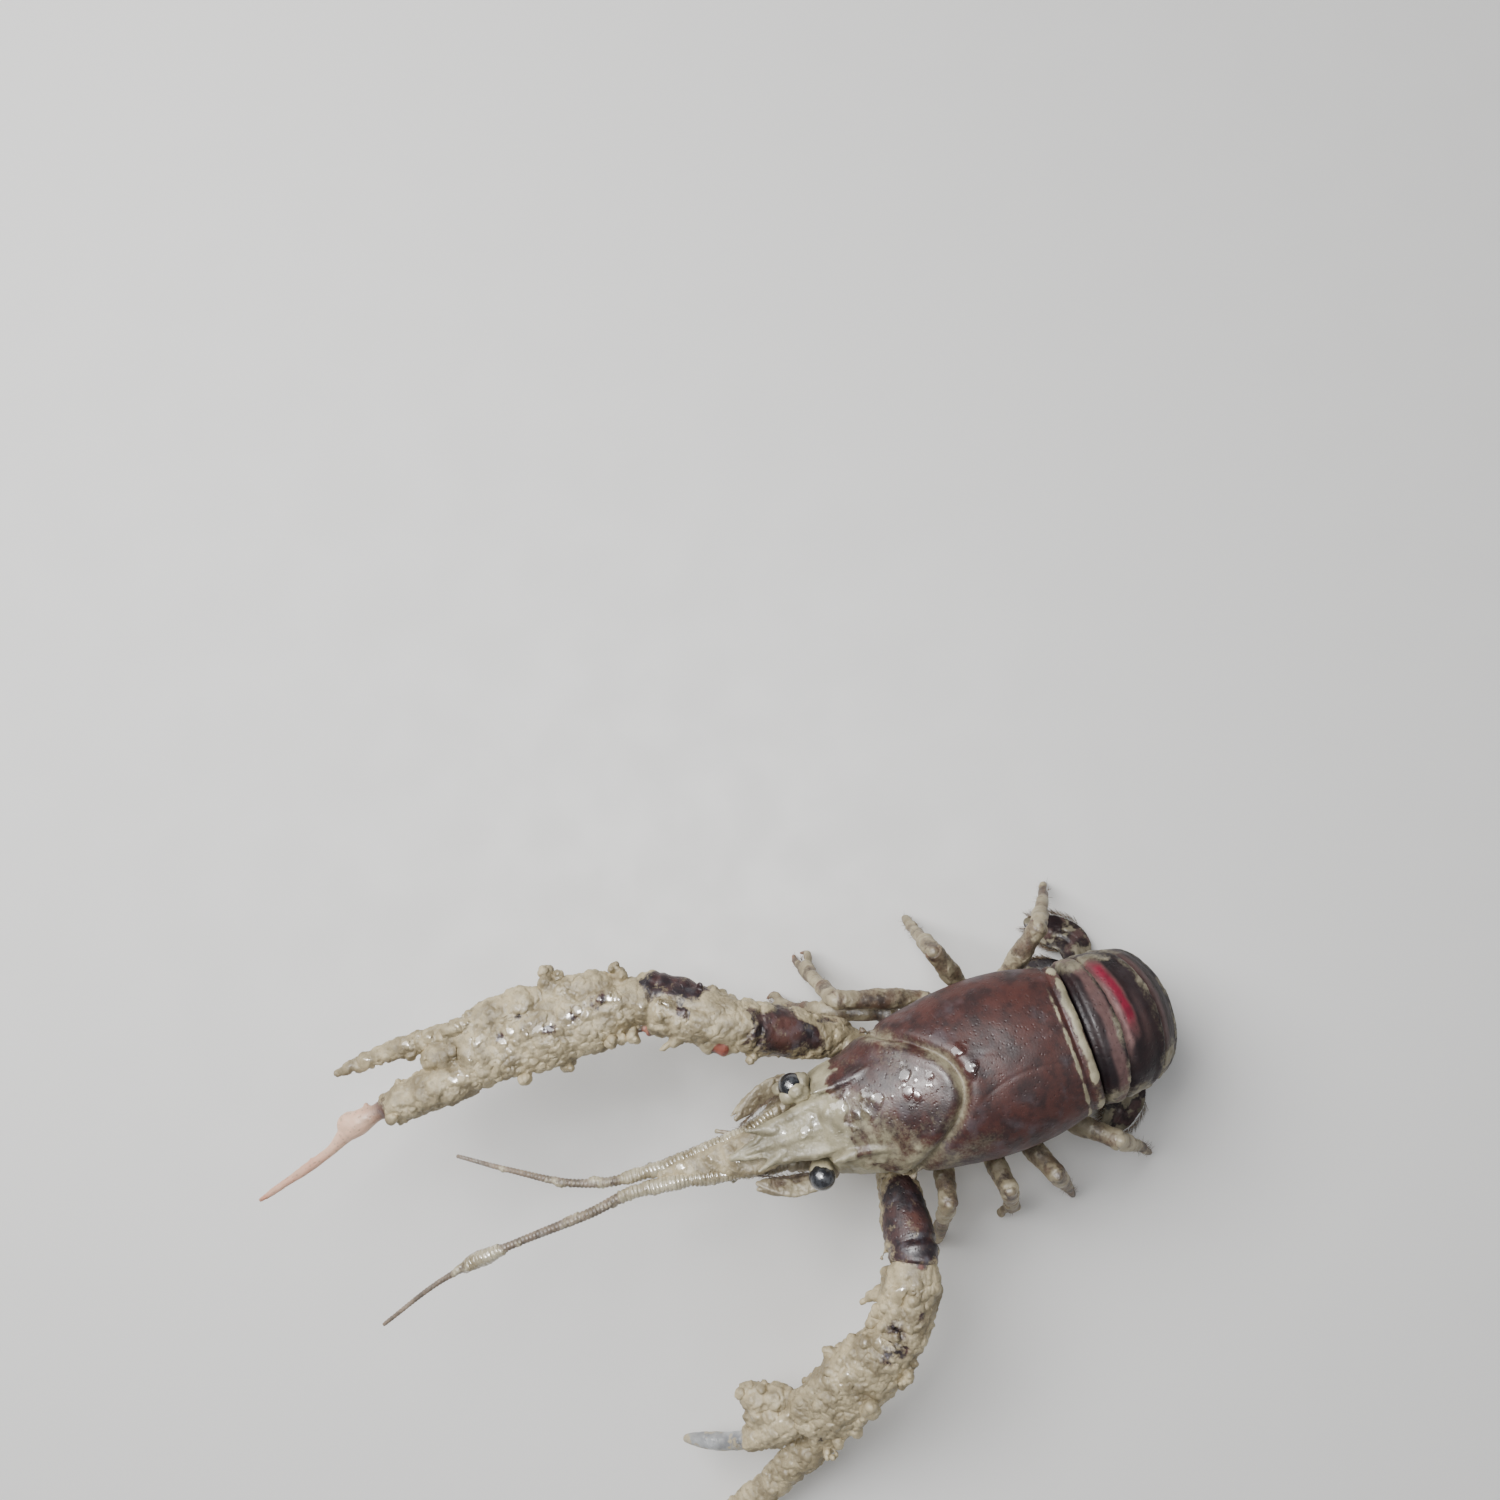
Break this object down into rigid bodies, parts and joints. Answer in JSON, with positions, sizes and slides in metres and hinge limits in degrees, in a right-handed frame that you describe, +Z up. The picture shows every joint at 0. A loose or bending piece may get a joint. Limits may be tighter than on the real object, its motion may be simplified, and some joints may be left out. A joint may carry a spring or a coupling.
{
  "type": "northern clearwater crayfish",
  "caption": "Life-size still crayfish caked in wet mud, claws and feelers spread ahead and tail curled under, standing on its legs.",
  "frame": {"origin": "middle of the bounding box, on the floor that the feet stand on", "axes": "head towards -Y, the animal's left side towards +X, +Z up"},
  "size_m": [0.058, 0.0938, 0.0235],
  "materials": {
    "shell": "wet dark maroon shell, mottled grey, with mud in its groove",
    "claw": "wet beige mud caked over a dark shell",
    "abdomen_plate": "wet near-black plates with pale rims",
    "tail": "dark brown ribbed plates",
    "leg": "muddy brown shell",
    "underside": "pale brown shell with mud",
    "feeler": "muddy, ringed",
    "eye": "glossy dark grey"
  },
  "bodies": {
    "root": {"carapace": "shell", "sternum": "underside", "face": "underside", "mouth": "underside", "eye_left": "eye", "jaw_foot_left": "underside", "antenna_scale_left": "feeler", "antennule_left": "feeler", "feeler_root_left": "underside", "feeler_lash_left": "feeler", "feeler_tip_left": "feeler", "claw_base_left": "shell", "claw_arm_left": "shell", "claw_wrist_left": "claw", "claw_palm_left": "claw", "claw_finger_left": "claw", "tail_blade_inner_left": "tail", "tail_blade_outer_left": "tail", "leg_2_left_upper": "leg", "leg_2_left_lower": "leg", "leg_3_left_upper": "leg", "leg_3_left_lower": "leg", "leg_4_left_upper": "leg", "leg_4_left_lower": "leg", "leg_5_left_upper": "leg", "leg_5_left_lower": "leg", "eye_right": "eye", "jaw_foot_right": "underside", "antenna_scale_right": "feeler", "antennule_right": "feeler", "feeler_root_right": "underside", "feeler_lash_right": "feeler", "feeler_tip_right": "feeler", "claw_base_right": "shell", "claw_arm_right": "shell", "claw_wrist_right": "claw", "claw_palm_right": "claw", "claw_finger_right": "claw", "tail_blade_inner_right": "tail", "tail_blade_outer_right": "tail", "leg_2_right_upper": "leg", "leg_2_right_lower": "leg", "leg_3_right_upper": "leg", "leg_3_right_lower": "leg", "leg_4_right_upper": "leg", "leg_4_right_lower": "leg", "leg_5_right_upper": "leg", "leg_5_right_lower": "leg", "abdomen_1": "abdomen_plate", "abdomen_2": "abdomen_plate", "abdomen_3": "abdomen_plate", "abdomen_4": "abdomen_plate", "abdomen_5": "abdomen_plate", "abdomen_6": "abdomen_plate", "telson": "tail"}
  },
  "joints": []
}
